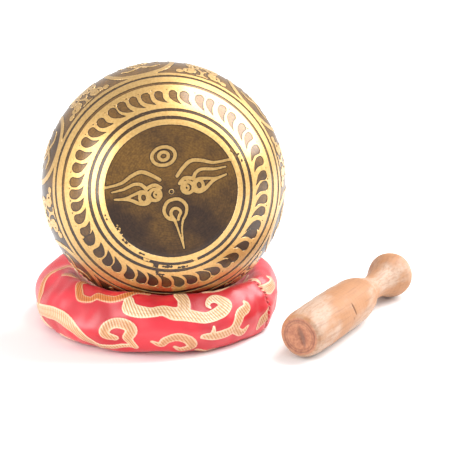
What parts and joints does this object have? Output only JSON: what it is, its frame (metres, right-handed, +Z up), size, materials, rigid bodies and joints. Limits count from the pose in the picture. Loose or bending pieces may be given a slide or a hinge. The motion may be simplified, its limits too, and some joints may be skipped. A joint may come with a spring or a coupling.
{
  "type": "singing bowl",
  "caption": "Etched metal singing bowl lying on its side on a ring cushion of patterned satin, with a turned wooden striking mallet beside it.",
  "frame": {"origin": "middle of the ring cushion, on the floor that it rests on", "axes": "+Z up; -Y is the side that the underside of the bowl faces at rest; +X towards the mallet"},
  "size_m": [0.1983, 0.1296, 0.1344],
  "materials": {
    "etched_bronze": "satin",
    "brocade": "satin",
    "wadding": "matte",
    "sewing_thread": "satin",
    "mallet_wood": "satin"
  },
  "bodies": {
    "cushion": {"cushion_cover": "brocade", "cushion_filling": "wadding", "closing_seam_thread": "sewing_thread", "inner_seam_thread": "sewing_thread"},
    "bowl": {"bowl": "etched_bronze"},
    "mallet": {"mallet": "mallet_wood"}
  },
  "joints": [
    {"name": "bowl_tip", "type": "hinge", "parent": "cushion", "child": "bowl", "pos_m": [0.0034, 0, 0.0711], "axis": [0.993, 0.1184, 0], "range_deg": [0, 101.9]},
    {"name": "mallet_lift", "type": "slide", "parent": "cushion", "child": "mallet", "axis": [0, 0, 1], "range_m": [0, 0.15]}
  ]
}
